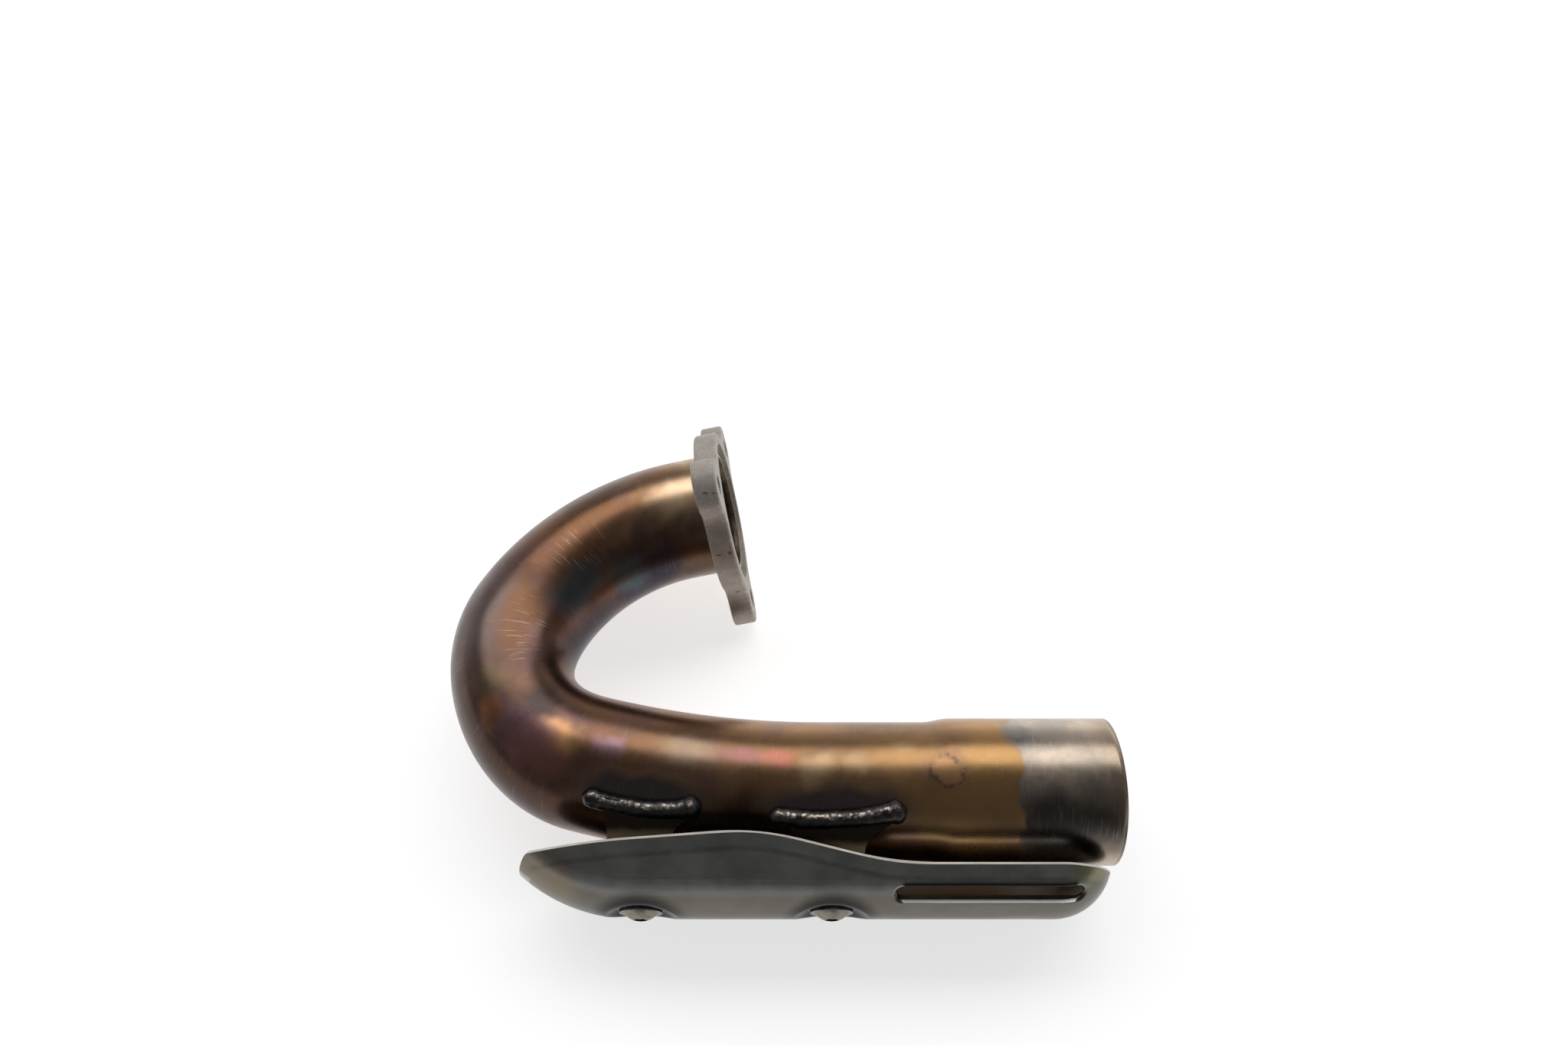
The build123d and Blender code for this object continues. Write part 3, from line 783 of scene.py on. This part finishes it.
# %% Bead tree
bead_tree, bead_in, bead_out = new_group(
    "weld_bead",
    "GeometryNodeTree",
    {
        "Geometry": ("NodeSocketGeometry", None),
        "Radius": ("NodeSocketFloat", 2.9 * MM),
        "Ripple pitch": ("NodeSocketFloat", 3.1 * MM),
        "Ripple height": ("NodeSocketFloat", 0.07 * MM),
        "Unevenness": ("NodeSocketFloat", 0.9 * MM),
        "Seed": ("NodeSocketFloat", 1.0),
        "Finish": ("NodeSocketMaterial", None),
    },
    {"Geometry": "NodeSocketGeometry"},
)
bead_line = add_node(bead_tree, "GeometryNodeResampleCurve", {"Curve": bead_in["Geometry"], "Count": 150})
bead_along = add_node(bead_tree, "GeometryNodeSplineParameter").outputs
from_end = calculate(bead_tree, "PINGPONG", bead_along["Factor"], 0.5)
round_end = calculate(bead_tree, "SUBTRACT", 1.0, remap(bead_tree, from_end, 0.0, 0.07, 1.0, 0.0))
round_end = calculate(bead_tree, "SQRT", round_end)
thick_start = remap(bead_tree, bead_along["Factor"], 0.06, 0.24, 1.3, 1.0)
phase = calculate(bead_tree, "DIVIDE", bead_along["Length"], bead_in["Ripple pitch"])
ripple = calculate(bead_tree, "SINE", calculate(bead_tree, "MULTIPLY", phase, 2 * pi))
ripple = calculate(bead_tree, "MULTIPLY", ripple, bead_in["Ripple height"])
bead_radius = calculate(bead_tree, "MULTIPLY", bead_in["Radius"], thick_start)
bead_radius = calculate(bead_tree, "ADD", bead_radius, ripple)
bead_radius = calculate(bead_tree, "MULTIPLY", bead_radius, round_end)
print("bead tree so far:", len(bead_tree.nodes), "nodes")

# %% Uneven surface of the bead
bead_ring = add_node(bead_tree, "GeometryNodeCurvePrimitiveCircle", {"Resolution": 28, "Radius": 1.0})
bead_parts = {"Curve": bead_line.outputs[0], "Profile Curve": bead_ring.outputs[0]}
bead_swept = add_node(
    bead_tree, "GeometryNodeCurveToMesh", {**bead_parts, "Scale": bead_radius, "Fill Caps": True},
).outputs[0]
bead_place = add_node(bead_tree, "GeometryNodeInputPosition").outputs[0]
lumps = add_node(
    bead_tree, "ShaderNodeTexNoise",
    {"Vector": bead_place, "W": bead_in["Seed"], "Scale": 190.0, "Detail": 1.0}, noise_dimensions="4D",
).outputs[0]
lift = calculate(bead_tree, "MULTIPLY", calculate(bead_tree, "SUBTRACT", lumps, 0.5), bead_in["Unevenness"])
lift = scaled(bead_tree, add_node(bead_tree, "GeometryNodeInputNormal").outputs[0], lift)
lifted = add_node(bead_tree, "GeometryNodeSetPosition", {"Geometry": bead_swept, "Offset": lift}).outputs[0]
close_tree(bead_tree, lifted, bead_in["Finish"], bead_out["Geometry"])
print("bead tree:", len(bead_tree.nodes), "nodes")

# %% Gunmetal of the beads
gunmetal, weld = new_metal("weld_gunmetal")
weld_place = object_place(weld)
weld_cloud = grain_at(weld, weld_place, 3.0)
weld_spark = grain_at(weld, weld_place, 1.3, 2.0)
weld_facing = add_node(weld, "ShaderNodeNewGeometry").outputs["Normal"]
# Light flecks on the upward-facing top of each bead are painted highlights.
top_glints = remap(weld, add_node(weld, "ShaderNodeSeparateXYZ", {0: weld_facing}).outputs[2], 0.90, 0.99)
top_glints = calculate(weld, "MULTIPLY", top_glints, remap(weld, weld_spark, 0.46, 0.62))
glint_colour = (0.62, 0.49, 0.39)
weld_colour = mottle(weld, weld_cloud, (0.06, 0.06, 0.064), (0.11, 0.105, 0.10))
weld_colour = blend(weld, top_glints, weld_colour, glint_colour)
feed(weld, weld_colour, follow(weld, weld_cloud, 0.28, 0.42), relief(weld, weld_spark, 0.1, 0.08))
dress("flange_weld", gunmetal)
print("gunmetal:", len(weld.nodes), "nodes")

# %% Places for the beads
shield_clock = radians(6.0)
shield_up = Vector((0.0, -sin(shield_clock), cos(shield_clock)))
bead_height = tube_od / 2 + 1.0 * MM
bead_steps = 24
# Each bead's middle and half length along the tube, then its degrees up from the shield's side: at
# the end towards the outlet, at its low point and at the end towards the bend.
bead_places = {
    "outlet_end": (90.0 * MM, 21.5 * MM, 60.5, 52.5, 55.0),
    "bend_end": (150.0 * MM, 18.5 * MM, 58.0, 48.5, 51.0),
}
distances = [0.0]
for first, second in zip(path, path[1:]):
    distances.append(distances[-1] + (second - first).length)


def on_tube(distance, angle, radius):
    """A point at a radius from the tube's axis, at an angle up from the shield's side."""
    index = max(i for i, reached in enumerate(distances[:-1]) if reached <= distance)
    share = (distance - distances[index]) / (distances[index + 1] - distances[index])
    tangent = (path[index + 1] - path[index]).normalized()
    out = shield_up.cross(tangent).normalized()
    arm = out * cos(radians(angle)) + tangent.cross(out) * sin(radians(angle))
    return path[index].lerp(path[index + 1], share) + arm * radius


print("bead axis", round(bead_height / MM, 1), "mm from the tube's axis")

# %% Lay the four beads
for end, (middle, half, outlet_side, low_point, bend_side) in bead_places.items():
    for side, sign in (("upper", 1.0), ("lower", -1.0)):
        line = []
        for i in range(bead_steps + 1):
            share = 2 * i / bead_steps - 1
            lean = (bend_side - outlet_side) / 2 * share
            sag = ((bend_side + outlet_side) / 2 - low_point) * share * share
            line.append(on_tube(middle + half * share, sign * (low_point + lean + sag), bead_height))
        bead_path = path_object(f"{end}_{side}_line", line)
        bead_values = {"Seed": middle / MM + sign, "Finish": gunmetal}
        bead = grow(bead_path, bead_tree, bead_values, f"{end}_{side}_bead")
        finish_piece(bead, f"{end}_{side}_weld")
        print(bead.name, len(bead.data.polygons), "faces")

# %% [markdown]
# The brackets are folded from sheet that has taken a straw tint from the heat, and it turns dark near
# the welds. They could be folded again from flat strips, but a press makes exactly the shape of the
# solids, so these keep their meshes. The dark part follows the distance from the tube.

# %% Straw-tinted bracket sheet
outlet_bracket_x = (-125.0, -115.0)
outlet_bracket_shift = 3.6
dark_band = (-21.5, -18.0)
near_tube_dark = (0.05, 0.04, 0.032)
straw, sheet = new_metal("straw_tinted_sheet")
sheet_place = object_place(sheet)
sheet_cloud = grain_at(sheet, sheet_place, 6.0, 4.0)
sheet_colour = mottle(sheet, sheet_cloud, (0.62, 0.46, 0.27), (0.80, 0.64, 0.42))
sheet_axes = add_node(sheet, "ShaderNodeSeparateXYZ", {0: sheet_place}).outputs
toward_tube = remap(sheet, sheet_axes["X"], *outlet_bracket_x, 0.0, outlet_bracket_shift)
toward_tube = calculate(sheet, "ADD", sheet_axes["Y"], toward_tube)
toward_tube = calculate(sheet, "ADD", toward_tube, follow(sheet, sheet_cloud, -0.4, 0.4))
# The sheet is coloured darker towards the tube.
sheet_colour = blend(sheet, remap(sheet, toward_tube, *dark_band), sheet_colour, near_tube_dark)
sheet_lines = scuffs_at(sheet, sheet_place, (0.1, 2.5, 2.5), 0.55)
feed(sheet, sheet_colour, follow(sheet, sheet_cloud, 0.34, 0.46), relief(sheet, sheet_lines, 0.1, 0.05))
for end in bead_places:
    dress(f"{end}_bracket", straw)
print("bracket sheet:", len(sheet.nodes), "nodes")

# %% [markdown]
# The shield is one stamped sheet of satin stainless, polished along its length. It keeps its solid
# too. The eye reads thin sheet by its edges: the cut edge and the slot's lip are turned over a little
# and catch the lamp, and their colour is lightened as a painted highlight, while the dished seats,
# the slot's roof, the crease and the underside are painted darker as painted shade. The lower part is
# darker too, partly dirt and partly painted shade. Each of these is a mask measured along the
# shield's own axes, so it stays in place from every side.

# %% Places on the shield
slot_angle = radians(38.0)
shield_inward = Vector((0.0, cos(shield_clock), sin(shield_clock)))
slot_up = shield_up * cos(slot_angle) + shield_inward * sin(slot_angle)
slot_out = shield_up * sin(slot_angle) - shield_inward * cos(slot_angle)
stainless, satin = new_metal("satin_stainless")
satin_place = object_place(satin)
shield_along = measure(satin, satin_place, (1.0, 0.0, 0.0))
shield_depth = measure(satin, satin_place, shield_inward)
shield_height = measure(satin, satin_place, shield_up)
slot_height = measure(satin, satin_place, slot_up)
facing = add_node(satin, "ShaderNodeNewGeometry").outputs["True Normal"]
print("shield axes:", tuple(shield_inward), tuple(shield_up))

# %% Line of the shield's upper edge
# Each point lies along the shield and inwards from its face, and each pair is where a mask fades.
toe, crest, shoulder = (-187.0, -23.2), (-115.0, -18.8), (-73.0, -27.5)
crest_blend, shoulder_blend = 4.5, 3.5
upper_side = (2.0, 6.0)
rim_width = (0.5, 0.75)
crease_depth, crease_width = 4.6, (0.1, 1.2)
rise = (crest[1] - toe[1]) / (crest[0] - toe[0])
fall = (shoulder[1] - crest[1]) / (shoulder[0] - crest[0])
from_crest = calculate(satin, "SUBTRACT", shield_along, crest[0])
rising = calculate(satin, "MULTIPLY", from_crest, rise)
falling = calculate(satin, "MULTIPLY", from_crest, fall)
upper_line = add_node(
    satin, "ShaderNodeMath", {0: rising, 1: falling, 2: crest_blend}, operation="SMOOTH_MIN",
).outputs[0]
upper_line = add_node(
    satin, "ShaderNodeMath", {0: upper_line, 1: shoulder[1] - crest[1], 2: shoulder_blend},
    operation="SMOOTH_MAX",
).outputs[0]
upper_line = calculate(satin, "ADD", upper_line, crest[1])
below_edge = calculate(satin, "SUBTRACT", upper_line, shield_depth)
upper_half = remap(satin, shield_height, *upper_side)
rim_highlight = calculate(satin, "MULTIPLY", remap(satin, below_edge, *rim_width, 1.0, 0.0), upper_half)
# The dark line along the fold below the upper edge is painted shade.
crease_shade = calculate(satin, "ABSOLUTE", calculate(satin, "SUBTRACT", below_edge, crease_depth))
crease_shade = calculate(satin, "MULTIPLY", remap(satin, crease_shade, *crease_width, 1.0, 0.0), upper_half)
print("upper edge rises", round(rise, 3), "and falls", round(fall, 3))

# %% Satin stainless shield
crown_band = (11.5, 15.5)
recess_shade_colour = (0.022, 0.021, 0.02)
# Each tint has a colour, a centre, a size and a strength.
shield_tints_and_shade = [
    ((0.20, 0.16, 0.11), (-186, -28, 4), (22, 16, 22), 0.6),
    ((0.20, 0.20, 0.10), (-10, -25, 16), (14, 14, 12), 0.7),
    # The two dark patches at the screw seats are painted shade in the dishes.
    (recess_shade_colour, (-92, -37.6, -3.0), (17, 30, 15), 0.9),
    (recess_shade_colour, (-152, -37.6, -3.0), (17, 30, 15), 0.9),
]
tint_edge = 0.65
satin_cloud = grain_at(satin, satin_place, 16.0, 4.0)
# The lower part is coloured darker: partly dirt, partly painted shade that dims its reflection of the floor.
lower_dirt_and_shade_colour = mottle(satin, satin_cloud, (0.13, 0.118, 0.10), (0.16, 0.147, 0.127))
upper_colour = mottle(satin, satin_cloud, (0.235, 0.235, 0.22), (0.29, 0.29, 0.275))
satin_colour = blend(satin, remap(satin, shield_height, *crown_band), lower_dirt_and_shade_colour, upper_colour)
for colour, centre, extent, strength in shield_tints_and_shade:
    mask = patch_at(satin, satin_place, centre, extent, tint_edge, strength)
    satin_colour = blend(satin, mask, satin_colour, colour)
print("shield tints:", len(shield_tints_and_shade))

# %% Scratches of the shield, and painted shade in its crease and on its underside
scratch_colour, crease_shade_colour, under_shade_colour = (0.42, 0.41, 0.39), (0.09, 0.09, 0.085), (0.05, 0.046, 0.04)
under_band = (-9.0, -2.0)
scratch = scuffs_at(satin, satin_place, (0.12, 1.1, 1.6), 0.69)
satin_colour = blend(satin, calculate(satin, "MULTIPLY", scratch, 0.3), satin_colour, scratch_colour)
crease_noise = remap(satin, grain_at(satin, satin_place, 3.0), *mask_range, 0.3, 0.5)
satin_colour = blend(satin, calculate(satin, "MULTIPLY", crease_shade, crease_noise), satin_colour, crease_shade_colour)
# Darkening towards the underside is painted shade.
underside_shade = remap(satin, shield_height, *under_band, 0.6, 0.0)
satin_colour = blend(satin, underside_shade, satin_colour, under_shade_colour)
print("shield so far:", len(satin.nodes), "nodes")

# %% Painted highlights on the cut edges of the shield and its slot, and painted shade under the slot's roof
# Each pair is where a mask fades, in millimetres along one of the shield's axes.
edge_highlight_colour, lip_highlight_colour = (0.36, 0.34, 0.30), (0.80, 0.79, 0.76)
edge_depth = (-30.0, -29.5)
slot_middle, slot_reach = -44.0, (26.0, 27.5)
roof_bottom, roof_top = (-10.4, -9.8), (-8.2, -6.6)
lip_bottom, lip_top = (-15.3, -15.0), (-13.4, -12.8)
sideways = calculate(satin, "ABSOLUTE", measure(satin, facing, shield_up))
# The lightened cut faces and the lightened rim along the upper edge are painted highlights.
cut_edge_highlight = remap(satin, sideways, 0.2, 0.35, 1.0, 0.0)
cut_edge_highlight = calculate(satin, "MULTIPLY", cut_edge_highlight, remap(satin, shield_depth, *edge_depth))
slot_zone = calculate(satin, "ABSOLUTE", calculate(satin, "SUBTRACT", shield_along, slot_middle))
slot_zone = remap(satin, slot_zone, *slot_reach, 1.0, 0.0)
# The dark band under the slot's roof is painted shade.
slot_roof_shade = calculate(satin, "MULTIPLY", slot_zone, remap(satin, slot_height, *roof_bottom))
slot_roof_shade = calculate(satin, "MULTIPLY", slot_roof_shade, remap(satin, slot_height, *roof_top, 1.0, 0.0))
satin_colour = blend(satin, slot_roof_shade, satin_colour, recess_shade_colour)
# The bright line along the slot's lower lip is a painted highlight.
slot_lip_highlight = calculate(satin, "MULTIPLY", slot_zone, remap(satin, slot_height, *lip_top, 1.0, 0.0))
slot_lip_highlight = calculate(satin, "MULTIPLY", slot_lip_highlight, remap(satin, slot_height, *lip_bottom))
slot_lip_highlight = calculate(satin, "MULTIPLY", slot_lip_highlight, remap(satin, measure(satin, facing, slot_out), 0.05, 0.25))
satin_colour = blend(satin, calculate(satin, "MAXIMUM", cut_edge_highlight, rim_highlight), satin_colour, edge_highlight_colour)
satin_colour = blend(satin, slot_lip_highlight, satin_colour, lip_highlight_colour)
print("bright edges ready")

# %% Polish of the shield
# The turned-over edges look up at the lamp, and a normal is mixed in as a colour is.
turned_normal = (0.0, 0.15, 0.99)
satin_fine = grain_at(satin, satin_place, 0.6)
polish = scuffs_at(satin, satin_place, (0.05, 3.0, 3.0), 0.52)
satin_rough = follow(satin, satin_cloud, 0.27, 0.36)
satin_rough = calculate(satin, "ADD", satin_rough, calculate(satin, "MULTIPLY", polish, 0.05))
satin_relief = calculate(satin, "ADD", polish, calculate(satin, "MULTIPLY", satin_fine, 0.5))
turned_over = calculate(satin, "MAXIMUM", rim_highlight, slot_lip_highlight)
satin_normal = blend(satin, turned_over, relief(satin, satin_relief, 0.05, 0.04), turned_normal)
feed(satin, satin_colour, satin_rough, satin_normal)
dress("heat_shield", stainless)
print("stainless:", len(satin.nodes), "nodes")

# %% [markdown]
# The screws and nuts are plain steel, dulled by heat. A lathe and a die make exactly the shapes of
# the solids, so these keep their meshes, and one finish serves all four.

# %% Plain steel of the screws and nuts
plain_steel, bolt = new_metal("plain_steel")
bolt_place = object_place(bolt)
bolt_cloud = grain_at(bolt, bolt_place, 2.5, 4.0)
bolt_fine = grain_at(bolt, bolt_place, 0.4, 2.0)
bolt_colour = mottle(bolt, bolt_cloud, (0.15, 0.14, 0.115), (0.27, 0.25, 0.205))
feed(bolt, bolt_colour, follow(bolt, bolt_cloud, 0.26, 0.42), relief(bolt, bolt_fine, 0.12, 0.06))
for end in bead_places:
    dress(f"{end}_screw", plain_steel)
    dress(f"{end}_nut", plain_steel)
print("plain steel:", len(bolt.nodes), "nodes")
